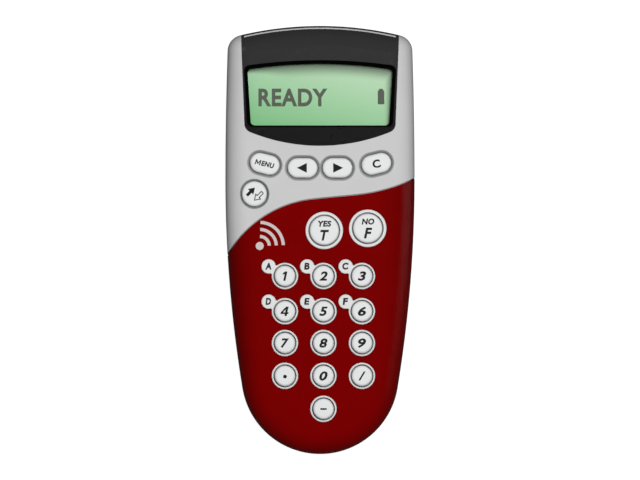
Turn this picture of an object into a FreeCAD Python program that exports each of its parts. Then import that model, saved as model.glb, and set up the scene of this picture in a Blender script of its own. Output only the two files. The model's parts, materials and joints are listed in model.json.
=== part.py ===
import FreeCAD, Part
import functools
import math
import os
import re

import Sketcher

# Handheld audience-response keypad, lying on its back.
# +X runs across the keypad, +Y towards the display, +Z out of the key face.
# The origin is on the resting plane, under the middle of the housing.

V = FreeCAD.Vector
UP = V(0, 0, 1)

os.makedirs("parts", exist_ok=True)
doc = FreeCAD.newDocument("response_keypad")

# ---------------------------------------------------------------- driving dimensions

DIMENSIONS = {
    # housing outline in plan: arcs tangent at the widest point and at the tail
    "housing_length": 144.4,
    "housing_thickness": 24.0,
    "half_width": 31.92,
    "widest_y": 20.0,
    "upper_side_arc": 1300.0,
    "lower_side_arc": 430.0,
    "crown_arc": 116.8,
    # rounds of the housing's edges and of its display-end corners
    "top_round": 7.5,
    "bottom_round": 6.0,
    "corner_round": 5.5,
    # shells, as depths below the outer form
    "parting_z": 12.0,
    "skin_gap": 0.05,
    "fascia_wall": 1.15,
    "bezel_wall": 1.6,
    "front_wall": 2.6,
    "rear_wall": 2.0,
    "lip_wall": 0.8,
    "lip_rise": 1.5,
    "lip_root": 1.5,
    "shelf_foot": 2.5,
    "shelf_drop": 0.5,
    # S-shaped seam between the silver face and the lower fascia
    "seam_groove": 0.36,
    "seam_left_x": 1.6,
    "seam_left_y": -23.6,
    "seam_left_arc": 37.6,
    "seam_slope": 5.5,
    "seam_straight": 14.06,
    "seam_right_arc": 58.0,
    "seam_right_sweep": 40.0,
    # display bezel in plan
    "bezel_low_half": 25.2,
    "bezel_low_y": 36.9,
    "bezel_high_half": 26.6,
    "bezel_high_y": 72.0,
    "bezel_chin_y": 31.6,
    "bezel_corner": 3.0,
    "bezel_overrun": 1.3,
    "stripe_inset": 1.0,
    "stripe_width": 0.5,
    "stripe_depth": 0.25,
    "stripe_half_length": 25.5,
    # display window in plan
    "window_low_half": 23.15,
    "window_high_half": 24.35,
    "window_low_y": 38.4,
    "window_corner_y": 57.1,
    "window_crown_y": 59.0,
    "window_corner": 1.4,
    "frame_side": 1.25,
    "frame_foot": 0.55,
    "frame_step": 0.6,
    "lens_lip": 0.75,
    "lens_z": 21.4,
    "lens_thickness": 0.7,
    # display glass and its holder
    "glass_half": 25.2,
    "glass_low_y": 36.65,
    "glass_high_y": 60.35,
    "glass_z": 18.9,
    "glass_thickness": 1.75,
    "holder_wall": 0.65,
    "zebra_width": 1.8,
    "zebra_length": 46.0,
    "zebra_inset": 0.5,
    # keys
    "small_key": 3.48,
    "large_key": 4.95,
    "send_key": 4.2,
    "oblong_length": 10.0,
    "oblong_width": 6.6,
    "key_clearance": 0.27,
    "collar_clearance": 0.42,
    "flange_lip": 1.0,
    "oblong_lip": 0.6,
    "flange_z": 20.4,
    "flange_thickness": 0.9,
    "key_top_z": 25.2,
    "silver_key_top_z": 24.9,
    "key_edge": 1.0,
    "key_pocket": 0.35,
    "key_pitch": 12.9,
    "centre_column_x": 1.15,
    "row_one_y": -12.06,
    "row_two_y": -23.85,
    "row_three_y": -34.5,
    "row_four_y": -45.5,
    "row_five_y": -56.55,
    "menu_x": -18.5,
    "clear_x": 18.9,
    "menu_y": 25.5,
    "menu_tilt": 14.0,
    "arrow_x": 5.83,
    "arrow_y": 24.15,
    "send_x": -22.0,
    "send_y": 15.45,
    "true_x": 1.43,
    "true_y": 3.2,
    "false_x": 15.98,
    "false_y": 3.92,
    # collars and letter tabs that stand through the fascia
    "collar_rise": 0.5,
    "collar_bevel": 0.2,
    "small_collar": 4.42,
    "large_collar": 6.28,
    "tab_radius": 2.4,
    "tab_dx": -5.45,
    "tab_dy": 3.2,
    "tab_neck": 3.3,
    # dished recesses around the silver-face keys
    "dish_margin": 1.05,
    "dish_depth": 1.1,
    "send_dish_margin": 0.9,
    # circuit board and keypad mat
    "board_z": 16.0,
    "board_thickness": 1.6,
    "board_inset": 4.2,
    "mat_inset": 6.0,
    "mat_sheet": 1.2,
    "mat_high_y": 31.0,
    "mat_low_y": -62.0,
    "dome_base": 3.5,
    "dome_top": 2.4,
    "dome_cavity": 2.2,
    "cavity_roof": 0.4,
    "contact_radius": 2.0,
    "contact_thickness": 0.04,
    # screws and bosses
    "screw_shank": 1.0,
    "screw_head": 1.9,
    "screw_head_height": 1.5,
    "screw_seat_z": 4.0,
    "screw_tip_z": 16.5,
    "screw_hole": 1.25,
    "recess_radius": 2.3,
    "rear_boss": 3.2,
    "front_boss": 2.5,
    "boss_gap": 0.3,
    "top_boss_x": 22.5,
    "top_boss_y": 63.9,
    "waist_boss_x": 24.6,
    "waist_boss_y": 5.0,
    "tail_boss_y": -64.5,
    "board_boss": 2.0,
    "board_boss_high_x": 25.5,
    "board_boss_high_y": 33.5,
    "board_boss_low_x": 22.3,
    "board_boss_low_y": -30.0,
    "board_screw_shank": 0.8,
    "board_screw_head": 1.6,
    "board_screw_head_height": 1.0,
    "board_screw_length": 4.0,
    # cross recess of a screw, as shares of its head's height and radius
    "cross_depth": 0.6,
    "cross_span": 1.1,
    "cross_slot": 0.25,
    # battery bay, cells and contacts
    "cell_radius": 5.25,
    "cell_length": 44.5,
    "cell_nub_radius": 1.9,
    "cell_nub_length": 1.0,
    "cell_pitch": 10.9,
    "cell_z": 8.45,
    "bay_half": 16.9,
    "bay_low_y": -52.0,
    "bay_high_y": -2.6,
    "bay_wall": 1.4,
    "bay_end_wall": 1.3,
    "bay_ceiling_z": 13.9,
    "bay_ceiling": 1.2,
    "plate_thickness": 0.4,
    "plate_half": 4.2,
    "plate_height": 8.5,
    "terminal_half": 1.25,
    "slot_play": 0.3,
    "slot_width": 0.7,
    "bump_radius": 1.6,
    "bump_taper": 0.6,
    "bump_height": 0.7,
    "spring_sheet": 0.3,
    "spring_chord": 8.0,
    "spring_rise": 3.3,
    "spring_breadth": 4.0,
    # battery door
    "door_half": 17.9,
    "door_high_y": 4.0,
    "door_split_y": -53.0,
    "door_cap_z": 5.9,
    "door_gap": 0.15,
    "door_rib": 1.3,
    "rib_start": 1.2,
    "deck_thickness": 1.5,
    "tongue_z": 2.1,
    "tongue_thickness": 0.95,
    "tongue_reach": 2.0,
    "hook_half": 6.0,
    "hook_reach": 2.0,
    "hook_root": 3.0,
    "rail_play": 0.1,
    "rail_roof": 1.2,
    "rail_foot": 1.35,
    "grip_count": 6.0,
    "grip_half": 9.0,
    "grip_pitch": 2.2,
    "grip_width": 0.9,
    "grip_depth": 0.4,
    "grip_first_y": -33.0,
    # parts on the circuit board
    "chip_side": 10.0,
    "chip_height": 1.4,
    "chip_y": 22.0,
    "lead_count": 11.0,
    "lead_pitch": 0.8,
    "lead_width": 0.35,
    "lead_reach": 1.0,
    "lead_height": 0.7,
    "radio_x": 0.0,
    "radio_y": 47.0,
    "radio_width": 22.0,
    "radio_depth": 15.0,
    "radio_board": 0.8,
    "shield_width": 15.0,
    "shield_depth": 12.0,
    "shield_height": 2.0,
    "antenna_y": 61.0,
    "antenna_length": 26.0,
    "antenna_width": 3.0,
    "antenna_sheet": 0.3,
    "antenna_stand": 4.0,
    "crystal_length": 10.2,
    "crystal_width": 3.8,
    "crystal_height": 3.4,
    "crystal_x": 14.0,
    "crystal_y": 22.0,
    "capacitor_radius": 2.5,
    "capacitor_height": 7.0,
    "capacitor_x": -15.0,
    "capacitor_y": 20.0,
    "chip_part_length": 2.0,
    "chip_part_width": 1.25,
    "chip_part_height": 0.6,
    "chip_part_pitch": 6.0,
    "chip_part_low_y": 12.0,
    "chip_part_high_y": 31.5,
}

sheet = doc.addObject("Spreadsheet::Sheet", "Sizes")
for row, (alias, number) in enumerate(DIMENSIONS.items(), start=1):
    sheet.set(f"A{row}", alias)
    sheet.set(f"B{row}", str(number))
    sheet.setAlias(f"B{row}", alias)
doc.recompute()


def size(alias):
    """The number held by a cell of the sheet."""
    return float(sheet.get(alias))


def formula(text):
    """An expression in which every dimension's name points at its cell."""
    return re.sub(r"[a-z_]+", lambda word: f"Sizes.{word[0]}" if word[0] in DIMENSIONS else word[0], text)


def bind(item, **properties):
    """Bind properties to formulas; a double underscore stands for a dot."""
    for name, text in properties.items():
        item.setExpression(name.replace("__", "."), formula(text))


def place(item, x="0", y="0", z="0"):
    """Bind an object's position to formulas."""
    bind(item, Placement__Base__x=x, Placement__Base__y=y, Placement__Base__z=z)


nodes = []


def node(item, name):
    """Register an object as one physical piece of the keypad."""
    item.Label = name
    nodes.append(item)
    return item


def feature(name, shape):
    """A piece whose shape is worked out by Part functions."""
    item = doc.addObject("Part::Feature", name)
    item.Shape = shape
    item.Placement = FreeCAD.Placement()
    return node(item, name)


def box(name, dx, dy, dz, x, y, z):
    """A bound box whose position is its lowest corner."""
    item = doc.addObject("Part::Box", name)
    bind(item, Length=dx, Width=dy, Height=dz)
    place(item, x, y, z)
    return item


def cylinder(name, radius, height, x="0", y="0", z="0"):
    """A bound upright cylinder."""
    item = doc.addObject("Part::Cylinder", name)
    bind(item, Radius=radius, Height=height)
    place(item, x, y, z)
    return item


def joined(name, *items):
    """The fusion of several objects."""
    item = doc.addObject("Part::MultiFuse", name)
    item.Shapes = list(items)
    return item


# ---------------------------------------------------------------- keys


def sketch_on_base(body, name, level):
    """An empty sketch parallel to the body's XY plane, at a bound height."""
    sketch = body.newObject("Sketcher::SketchObject", name)
    plane = [part for part in body.Origin.OriginFeatures if part.Role == "XY_Plane"][0]
    sketch.AttachmentSupport = (plane, [""])
    sketch.MapMode = "FlatFace"
    bind(sketch, AttachmentOffset__Base__z=level)
    return sketch


def constrain(sketch, text, *constraint):
    """Add a driving constraint whose value follows a formula."""
    index = sketch.addConstraint(Sketcher.Constraint(*constraint))
    sketch.setExpression(f"Constraints[{index}]", formula(text))


def disc_profile(sketch, radius):
    """A circle about the sketch's origin."""
    circle = sketch.addGeometry(Part.Circle(V(0, 0, 0), UP, 1.0), False)
    sketch.addConstraint(Sketcher.Constraint("Coincident", circle, 3, -1, 1))
    constrain(sketch, radius, "Radius", circle, 1.0)


def oblong_profile(sketch, length, width):
    """Two half circles joined by tangent lines, centred on the sketch's origin."""
    reach = 2.0
    radius = 1.0
    right = sketch.addGeometry(
        Part.ArcOfCircle(Part.Circle(V(reach, 0, 0), UP, radius), -math.pi / 2, math.pi / 2), False)
    left = sketch.addGeometry(
        Part.ArcOfCircle(Part.Circle(V(-reach, 0, 0), UP, radius), math.pi / 2, 1.5 * math.pi), False)
    top = sketch.addGeometry(Part.LineSegment(V(reach, radius, 0), V(-reach, radius, 0)), False)
    foot = sketch.addGeometry(Part.LineSegment(V(-reach, -radius, 0), V(reach, -radius, 0)), False)
    for first, second in ((right, top), (top, left), (left, foot), (foot, right)):
        sketch.addConstraint(Sketcher.Constraint("Tangent", first, 2, second, 1))
    sketch.addConstraint(Sketcher.Constraint("Symmetric", left, 3, right, 3, -1, 1))
    sketch.addConstraint(Sketcher.Constraint("Horizontal", top))
    sketch.addConstraint(Sketcher.Constraint("Equal", left, right))
    constrain(sketch, f"({width}) / 2", "Radius", right, radius)
    constrain(sketch, f"({length}) - ({width})", "DistanceX", left, 3, right, 3, 2 * reach)


def pad(body, sketch, length):
    """Pad a sketch upwards."""
    step = body.newObject("PartDesign::Pad", f"{sketch.Name}_pad")
    step.Profile = sketch
    bind(step, Length=length)
    return step


SAME_HEIGHT = 1e-6


def lies_at(edge, height):
    """True if an edge's ends are both at a height."""
    return all(abs(vertex.Z - height) < SAME_HEIGHT for vertex in edge.Vertexes)


def make_key(name, style, x, y, tilt):
    """A keycap with a retaining flange; the body's origin is under the flange."""
    body = doc.addObject("PartDesign::Body", name)
    on_silver = style in ("oblong", "send")
    top = "silver_key_top_z" if on_silver else "key_top_z"
    lip = "oblong_lip" if style == "oblong" else "flange_lip"
    outlines = []
    for part, level, grow in (("flange", "0", lip), ("cap", "flange_thickness", "0")):
        sketch = sketch_on_base(body, f"{name}_{part}", level)
        if style == "oblong":
            oblong_profile(sketch, f"oblong_length + 2 * {grow}", f"oblong_width + 2 * {grow}")
        else:
            disc_profile(sketch, f"{style}_key + {grow}")
        outlines.append(sketch)
    pad(body, outlines[0], "flange_thickness")
    cap = pad(body, outlines[1], f"{top} - flange_z - flange_thickness")
    body.Placement.Rotation = FreeCAD.Rotation(UP, 1)
    bind(body, Placement__Rotation__Angle=tilt)
    place(body, x, y, "flange_z")
    doc.recompute()
    height = size(top) - size("flange_z")
    rim = [
        f"Edge{index}"
        for index, edge in enumerate(cap.Shape.Edges, start=1)
        if lies_at(edge, height)
    ]
    edge_round = body.newObject("PartDesign::Fillet", f"{name}_edge")
    edge_round.Base = (cap, rim)
    bind(edge_round, Radius="key_edge")
    return node(body, name)


KEYS = {
    "key_menu": ("oblong", "menu_x", "menu_y", "0 - menu_tilt"),
    "key_left": ("oblong", "0 - arrow_x", "arrow_y", "0"),
    "key_right": ("oblong", "arrow_x", "arrow_y", "0"),
    "key_clear": ("oblong", "clear_x", "menu_y", "menu_tilt"),
    "key_send": ("send", "send_x", "send_y", "0"),
    "key_true": ("large", "true_x", "true_y", "0"),
    "key_false": ("large", "false_x", "false_y", "0"),
}
GRID = (
    ("row_one_y", ("1", "2", "3")),
    ("row_two_y", ("4", "5", "6")),
    ("row_three_y", ("7", "8", "9")),
    ("row_four_y", ("point", "0", "slash")),
    ("row_five_y", ("", "minus", "")),
)
LETTERED = tuple(f"key_{number}" for number in range(1, 7))
for row_y, legends in GRID:
    for column, legend in enumerate(legends, start=-1):
        if legend:
            column_x = f"centre_column_x + ({column}) * key_pitch"
            KEYS[f"key_{legend}"] = ("small", column_x, row_y, "0")

keys = {name: make_key(name, *choices) for name, choices in KEYS.items()}
doc.recompute()


# ---------------------------------------------------------------- shared plan geometry


def slab(x0, x1, y0, y1, z0, z1):
    """A box between two corners."""
    return Part.makeBox(x1 - x0, y1 - y0, z1 - z0, V(x0, y0, z0))


def rod(x, y, radius, z0, z1):
    """An upright cylinder between two heights."""
    return Part.makeCylinder(radius, z1 - z0, V(x, y, z0))


def prism(edges, z0, z1):
    """The outline made by edges, raised from z0 to z1."""
    face = Part.Face(Part.Wire(edges))
    solid = face.extrude(V(0, 0, z1 - z0))
    solid.translate(V(0, 0, z0))
    return solid


def arc(centre, start, end):
    """The shorter arc about a centre from start to end."""
    middle = (start - centre) + (end - centre)
    middle = centre + middle.normalize() * (start - centre).Length
    return Part.Arc(start, middle, end).toShape()


def line(start, end):
    return Part.LineSegment(start, end).toShape()


def mirrored(point):
    """A point's twin across the keypad's centre line."""
    return V(-point.x, point.y, point.z)


def rounded_uprights(solid, radius, wanted):
    """Round the upright edges whose foot passes the test."""
    uprights = [
        edge for edge in solid.Edges
        if len(edge.Vertexes) == 2
        and not lies_at(edge, edge.Vertexes[0].Z)
        and wanted(edge.Vertexes[0].Point)
    ]
    return solid.makeFillet(radius, uprights)


THICK = size("housing_thickness")
PARTING = size("parting_z")
GAP = size("skin_gap")
TAIL_Y = -size("housing_length") / 2
FAR = 100.0
# how far a cutter runs past what it cuts, and how deep joined pieces sink into each other
MARGIN = 1.0
JOIN = 0.2
ABOVE = THICK + MARGIN
BELOW = -MARGIN


def layer(z0, z1):
    """Everything between two heights."""
    return slab(-FAR, FAR, -FAR, FAR, z0, z1)


def housing_outline(inset):
    """Plan outline of the housing, moved inward: six arcs, mirrored about the centre line."""
    widest = V(size("half_width") - inset, size("widest_y"), 0)
    upper = size("upper_side_arc")
    lower = size("lower_side_arc")
    crown = size("crown_arc")
    upper_centre = V(size("half_width") - upper, size("widest_y"), 0)
    lower_centre = V(size("half_width") - lower, size("widest_y"), 0)
    crown_centre = V(0, size("housing_length") / 2 - crown, 0)
    # the tail circle touches both lower side arcs and the tail's end
    reach = size("widest_y") - TAIL_Y
    tail = 2 * lower * size("half_width") - size("half_width") ** 2 - reach ** 2
    tail = tail / (2 * (lower - reach))
    tail_centre = V(0, TAIL_Y + tail, 0)
    towards_tail = (tail_centre - lower_centre).normalize()
    hip = lower_centre + towards_tail * (lower - inset)
    # the shoulder is where the upper side arc meets the crown arc
    across = crown_centre - upper_centre
    spacing = across.Length
    along = (spacing ** 2 + (upper - inset) ** 2 - (crown - inset) ** 2) / (2 * spacing)
    aside = math.sqrt((upper - inset) ** 2 - along ** 2)
    across.normalize()
    shoulder = upper_centre + across * along + V(-across.y, across.x, 0) * aside
    return [
        arc(crown_centre, mirrored(shoulder), shoulder),
        arc(upper_centre, shoulder, widest),
        arc(lower_centre, widest, hip),
        arc(tail_centre, hip, mirrored(hip)),
        arc(mirrored(lower_centre), mirrored(hip), mirrored(widest)),
        arc(mirrored(upper_centre), mirrored(widest), mirrored(shoulder)),
    ]


@functools.cache
def form(inset):
    """The housing's rounded outer form, moved inward on every side."""
    low = inset
    high = THICK - inset
    solid = prism(housing_outline(inset), low, high)
    display_end = size("widest_y") + MARGIN
    solid = rounded_uprights(solid, size("corner_round") - inset, lambda foot: foot.y > display_end)
    for level, edge_round in ((high, "top_round"), (low, "bottom_round")):
        rim = [edge for edge in solid.Edges if lies_at(edge, level)]
        solid = solid.makeFillet(size(edge_round) - inset, rim)
    return solid


def seam_region(shift):
    """Everything on the tail side of the S-shaped seam; shift moves the seam to the display."""
    slope = math.radians(size("seam_slope"))
    along = V(math.cos(slope), math.sin(slope), 0)
    normal = V(-math.sin(slope), math.cos(slope), 0)
    left = size("seam_left_arc")
    right = size("seam_right_arc")
    left_centre = V(size("seam_left_x"), size("seam_left_y"), 0)
    bend = left_centre + normal * left
    right_centre = bend + along * size("seam_straight") + normal * right
    start = left_centre - V(left + shift, 0, 0)
    first = left_centre + normal * (left + shift)
    second = right_centre - normal * (right - shift)
    sweep = math.radians(size("seam_right_sweep"))
    outside = V(math.sin(sweep), -math.cos(sweep), 0)
    end = right_centre + outside * (right - shift)
    low_left = V(start.x, -FAR, 0)
    low_right = V(end.x, -FAR, 0)
    edges = [
        arc(left_centre, start, first),
        line(first, second),
        arc(right_centre, second, end),
        line(end, low_right),
        line(low_right, low_left),
        line(low_left, start),
    ]
    return prism(edges, 0, ABOVE)


def bezel_region(grow):
    """The display bezel's plan: tapered sides, a bowed chin and rounded lower corners."""
    side = V(size("bezel_high_half") - size("bezel_low_half"), size("bezel_high_y") - size("bezel_low_y"), 0)
    low = V(size("bezel_low_half") + grow, size("bezel_low_y"), 0)
    high = low + side * size("bezel_overrun")
    chin = V(0, size("bezel_chin_y") - grow, 0)
    edges = [
        Part.Arc(mirrored(low), chin, low).toShape(),
        line(low, high),
        line(high, mirrored(high)),
        line(mirrored(high), mirrored(low)),
    ]
    solid = prism(edges, 0, ABOVE)
    return rounded_uprights(solid, size("bezel_corner") + grow, lambda foot: foot.y < high.y - MARGIN)


def window_region(side, foot, z0, z1):
    """The display window's plan, grown at the sides and top, and by its own amount at the foot."""
    low = V(size("window_low_half") + side, size("window_low_y") - foot, 0)
    high = V(size("window_high_half") + side, size("window_corner_y") + side, 0)
    crown = V(0, size("window_crown_y") + side, 0)
    edges = [
        line(mirrored(low), low),
        line(low, high),
        Part.Arc(high, crown, mirrored(high)).toShape(),
        line(mirrored(high), mirrored(low)),
    ]
    return rounded_uprights(prism(edges, z0, z1), size("window_corner") + side / 2, lambda point: True)


def oblong_wire(key, grow, level):
    """A key's oblong outline, grown on every side, at a height."""
    radius = size("oblong_width") / 2 + grow
    reach = (size("oblong_length") - size("oblong_width")) / 2
    corners = [V(reach, -radius, 0), V(reach, radius, 0), V(-reach, radius, 0), V(-reach, -radius, 0)]
    wire = Part.Wire([
        Part.Arc(corners[0], V(reach + radius, 0, 0), corners[1]).toShape(),
        line(corners[1], corners[2]),
        Part.Arc(corners[2], V(-reach - radius, 0, 0), corners[3]).toShape(),
        line(corners[3], corners[0]),
    ])
    at_key = key.Placement.copy()
    at_key.Base.z = level
    wire.Placement = at_key
    return wire


def key_hole(name, grow, z0, z1):
    """The room of a key's plan outline, grown on every side, between two heights."""
    style = KEYS[name][0]
    centre = keys[name].Placement.Base
    if style == "oblong":
        return Part.Face(oblong_wire(keys[name], grow, z0)).extrude(V(0, 0, z1 - z0))
    return rod(centre.x, centre.y, size(f"{style}_key") + grow, z0, z1)


def collar_post(x, y, radius, z0, z1, bevel):
    """An upright cylinder whose upper rim is bevelled."""
    post = rod(x, y, radius, z0, z1 - bevel)
    if not bevel:
        return [post]
    return [post, Part.makeCone(radius, radius - bevel, bevel, V(x, y, z1 - bevel))]


def collars(grow, z0, z1, bevel=0.0):
    """The collars and letter tabs around the keys in the lower fascia."""
    solids = []
    for name, (style, *_) in KEYS.items():
        centre = keys[name].Placement.Base
        if style in ("small", "large"):
            radius = size(f"{style}_collar") + grow
            solids += collar_post(centre.x, centre.y, radius, z0, z1, bevel)
        if name in LETTERED:
            tab_x = centre.x + size("tab_dx")
            tab_y = centre.y + size("tab_dy")
            solids += collar_post(tab_x, tab_y, size("tab_radius") + grow, z0, z1, bevel)
            neck_half = size("tab_neck") / 2 + grow
            reach = math.hypot(size("tab_dx"), size("tab_dy"))
            neck = slab(0, reach, -neck_half, neck_half, z0, z1 - bevel)
            neck = neck.fuse(slab(0, reach, bevel - neck_half, neck_half - bevel, z0, z1))
            neck.rotate(V(0, 0, 0), UP, math.degrees(math.atan2(size("tab_dy"), size("tab_dx"))))
            neck.translate(V(centre.x, centre.y, 0))
            solids.append(neck)
    return solids[0].fuse(solids[1:])


def on_both_sides(x, y):
    return [(-x, y), (x, y)]


CORNER_BOSSES = (
    on_both_sides(size("top_boss_x"), size("top_boss_y"))
    + on_both_sides(size("waist_boss_x"), size("waist_boss_y"))
)
TAIL_BOSS = (0.0, size("tail_boss_y"))
HOUSING_BOSSES = CORNER_BOSSES + [TAIL_BOSS]
BOARD_BOSSES = (
    on_both_sides(size("board_boss_high_x"), size("board_boss_high_y"))
    + on_both_sides(size("board_boss_low_x"), size("board_boss_low_y"))
)
INNER_TOP = THICK - size("front_wall")
BOARD_TOP = size("board_z") + size("board_thickness")


def rods(centres, radius, z0, z1):
    return [rod(x, y, radius, z0, z1) for x, y in centres]


# ---------------------------------------------------------------- front housing


def make_front_shell():
    """Silver upper shell: it carries the bezel, the fascia, the key collars and the bosses."""
    solid = form(0.0).cut(form(size("front_wall")))
    solid = solid.common(layer(PARTING + GAP, ABOVE))
    fascia_room = form(0.0).cut(form(size("fascia_wall") + GAP))
    solid = solid.cut(fascia_room.common(seam_region(size("seam_groove") / 2)))
    bezel_room = form(0.0).cut(form(size("bezel_wall") + GAP))
    solid = solid.cut(bezel_room.common(bezel_region(GAP)))
    rim_z = THICK + size("collar_rise")
    additions = [collars(0.0, INNER_TOP + JOIN, rim_z, size("collar_bevel"))]
    bosses = rods(HOUSING_BOSSES, size("front_boss"), PARTING + GAP, INNER_TOP + JOIN)
    bosses += rods(BOARD_BOSSES, size("board_boss"), BOARD_TOP, INNER_TOP + JOIN)
    core = form(size("bezel_wall") + 2 * GAP)
    additions += [boss.common(core) for boss in bosses]
    solid = solid.fuse(additions)
    window_lip = size("lens_lip") + GAP
    cuts = [window_region(window_lip, window_lip, INNER_TOP - MARGIN, THICK)]
    glass_side = size("glass_half") + size("holder_wall") + 2 * GAP
    low_y = size("glass_low_y") - size("holder_wall") - 2 * GAP
    high_y = size("glass_high_y") + size("holder_wall") + 2 * GAP
    glass_top = size("glass_z") + size("glass_thickness") + GAP
    cuts.append(slab(-glass_side, glass_side, low_y, high_y, BOARD_TOP, glass_top))
    cuts += rods(HOUSING_BOSSES, size("screw_shank"), PARTING, size("screw_tip_z") + MARGIN)
    pilot_top = size("board_z") + size("board_screw_length") + MARGIN
    cuts += rods(BOARD_BOSSES, size("board_screw_shank"), BOARD_TOP - MARGIN, pilot_top)
    for name, (style, *_) in KEYS.items():
        clearance = size("collar_clearance" if style in ("small", "large") else "key_clearance")
        cuts.append(key_hole(name, clearance, INNER_TOP - MARGIN, ABOVE))
        lip = size("oblong_lip") if style == "oblong" else size("flange_lip")
        cuts.append(key_hole(name, lip + size("key_pocket"), size("board_z"), INNER_TOP))
        if style == "oblong":
            rim = oblong_wire(keys[name], size("dish_margin"), THICK + GAP)
            foot = oblong_wire(keys[name], size("key_clearance"), THICK - size("dish_depth"))
            cuts.append(Part.makeLoft([foot, rim], True, True))
        if style == "send":
            key_base = keys[name].Placement.Base
            foot_centre = V(key_base.x, key_base.y, THICK - size("dish_depth"))
            foot_radius = size("send_key") + size("key_clearance")
            rim_radius = size("send_key") + size("send_dish_margin")
            cuts.append(Part.makeCone(foot_radius, rim_radius, size("dish_depth") + GAP, foot_centre))
    return solid.cut(cuts)


def make_lower_fascia():
    """Dark red skin over the tail half, pierced for the collars and tabs."""
    skin = form(0.0).cut(form(size("fascia_wall")))
    skin = skin.common(layer(PARTING + GAP, ABOVE))
    skin = skin.common(seam_region(-size("seam_groove") / 2))
    return skin.cut(collars(GAP, INNER_TOP, ABOVE))


def stripe_band(depth):
    """The thin band that follows the display end's edge, cut to a depth below the form."""
    crown = size("crown_arc")
    centre = V(0, size("housing_length") / 2 - crown, 0)
    middle = crown - size("stripe_inset")
    outer = Part.makeCylinder(middle + size("stripe_width") / 2, THICK, centre)
    inner = Part.makeCylinder(middle - size("stripe_width") / 2, THICK, centre)
    half = size("stripe_half_length")
    front = slab(-half, half, size("glass_high_y"), FAR, PARTING + MARGIN, ABOVE)
    return form(0.0).cut(form(depth)).common(outer.cut(inner)).common(front)


def make_display_bezel():
    """Black bezel that wraps over the display end, with a stepped window."""
    skin = form(0.0).cut(form(size("bezel_wall")))
    skin = skin.common(bezel_region(0.0))
    skin = skin.common(layer(PARTING + GAP, ABOVE))
    step = window_region(size("frame_side"), size("frame_foot"), THICK - size("frame_step"), ABOVE)
    opening = window_region(0.0, 0.0, PARTING, ABOVE)
    groove = stripe_band(size("stripe_depth") + GAP / 2)
    return skin.cut([step, opening, groove])


feature("front_shell", make_front_shell())
feature("lower_fascia", make_lower_fascia())
feature("display_bezel", make_display_bezel())
feature("bezel_pinstripe", stripe_band(size("stripe_depth")))

# ---------------------------------------------------------------- display

LENS_Z = size("lens_z")
feature("display_window", window_region(
    size("lens_lip"), size("lens_lip"), LENS_Z, LENS_Z + size("lens_thickness")))

display_glass = box(
    "display_glass_blank",
    "2 * glass_half", "glass_high_y - glass_low_y", "glass_thickness",
    "0 - glass_half", "glass_low_y", "glass_z")
node(display_glass, "lcd_glass")

holder_outer = box(
    "holder_outer",
    "2 * (glass_half + holder_wall + skin_gap)",
    "glass_high_y - glass_low_y + 2 * (holder_wall + skin_gap)",
    "glass_z + glass_thickness - board_z - board_thickness - skin_gap",
    "0 - glass_half - holder_wall - skin_gap",
    "glass_low_y - holder_wall - skin_gap",
    "board_z + board_thickness + skin_gap")
holder_inner = box(
    "holder_inner",
    "2 * (glass_half + skin_gap)", "glass_high_y - glass_low_y + 2 * skin_gap", "housing_thickness",
    "0 - glass_half - skin_gap", "glass_low_y - skin_gap", "board_z")
holder = doc.addObject("Part::Cut", "holder")
holder.Base = holder_outer
holder.Tool = holder_inner
node(holder, "lcd_holder")

zebras = []
ZEBRA_PLACES = (
    ("low", "glass_low_y + zebra_inset"),
    ("high", "glass_high_y - zebra_inset - zebra_width"),
)
for side_name, zebra_y in ZEBRA_PLACES:
    zebras.append(box(
        f"zebra_{side_name}",
        "zebra_length", "zebra_width", "glass_z - board_z - board_thickness",
        "0 - zebra_length / 2", zebra_y, "board_z + board_thickness"))
node(joined("zebra_pair", *zebras), "zebra_strips")

# ---------------------------------------------------------------- keypad mat and circuit board


def make_keypad_mat():
    """Silicone sheet with one hollow dome under every key."""
    base = BOARD_TOP + GAP
    top = base + size("mat_sheet")
    solid = prism(housing_outline(size("mat_inset")), base, top)
    solid = solid.common(slab(-FAR, FAR, size("mat_low_y"), size("mat_high_y"), base, top))
    dome_high = size("flange_z") - GAP
    domes = []
    cavities = []
    for key in keys.values():
        centre = V(key.Placement.Base.x, key.Placement.Base.y, top)
        domes.append(Part.makeCone(size("dome_base"), size("dome_top"), dome_high - top, centre))
        cavities.append(rod(centre.x, centre.y, size("dome_cavity"), base, top + size("cavity_roof")))
    solid = solid.fuse(domes)
    holes = rods(HOUSING_BOSSES, size("front_boss") + size("boss_gap"), base - MARGIN, top + MARGIN)
    holes += rods(BOARD_BOSSES, size("board_boss") + size("boss_gap"), base - MARGIN, top + MARGIN)
    return solid.cut(cavities + holes)


def make_circuit_board():
    """Board that follows the housing, notched for the housing bosses."""
    solid = prism(housing_outline(size("board_inset")), size("board_z"), BOARD_TOP)
    low = size("board_z") - MARGIN
    high = BOARD_TOP + MARGIN
    holes = rods(HOUSING_BOSSES, size("front_boss") + size("boss_gap"), low, high)
    holes += rods(BOARD_BOSSES, size("board_screw_shank") + GAP, low, high)
    return solid.cut(holes)


feature("keypad_mat", make_keypad_mat())
feature("circuit_board", make_circuit_board())

contacts = []
for key_name in KEYS:
    key_x, key_y = KEYS[key_name][1:3]
    contacts.append(cylinder(
        f"{key_name}_contact", "contact_radius", "contact_thickness", key_x, key_y,
        "board_z + board_thickness"))
node(joined("contact_set", *contacts), "key_contacts")

# ---------------------------------------------------------------- parts under the circuit board


def hanging_box(name, dx, dy, height, x, y, below="0"):
    """A box under the circuit board, centred in plan."""
    return box(
        name, dx, dy, height,
        f"{x} - ({dx}) / 2", f"{y} - ({dy}) / 2", f"board_z - ({below}) - ({height})")


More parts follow.
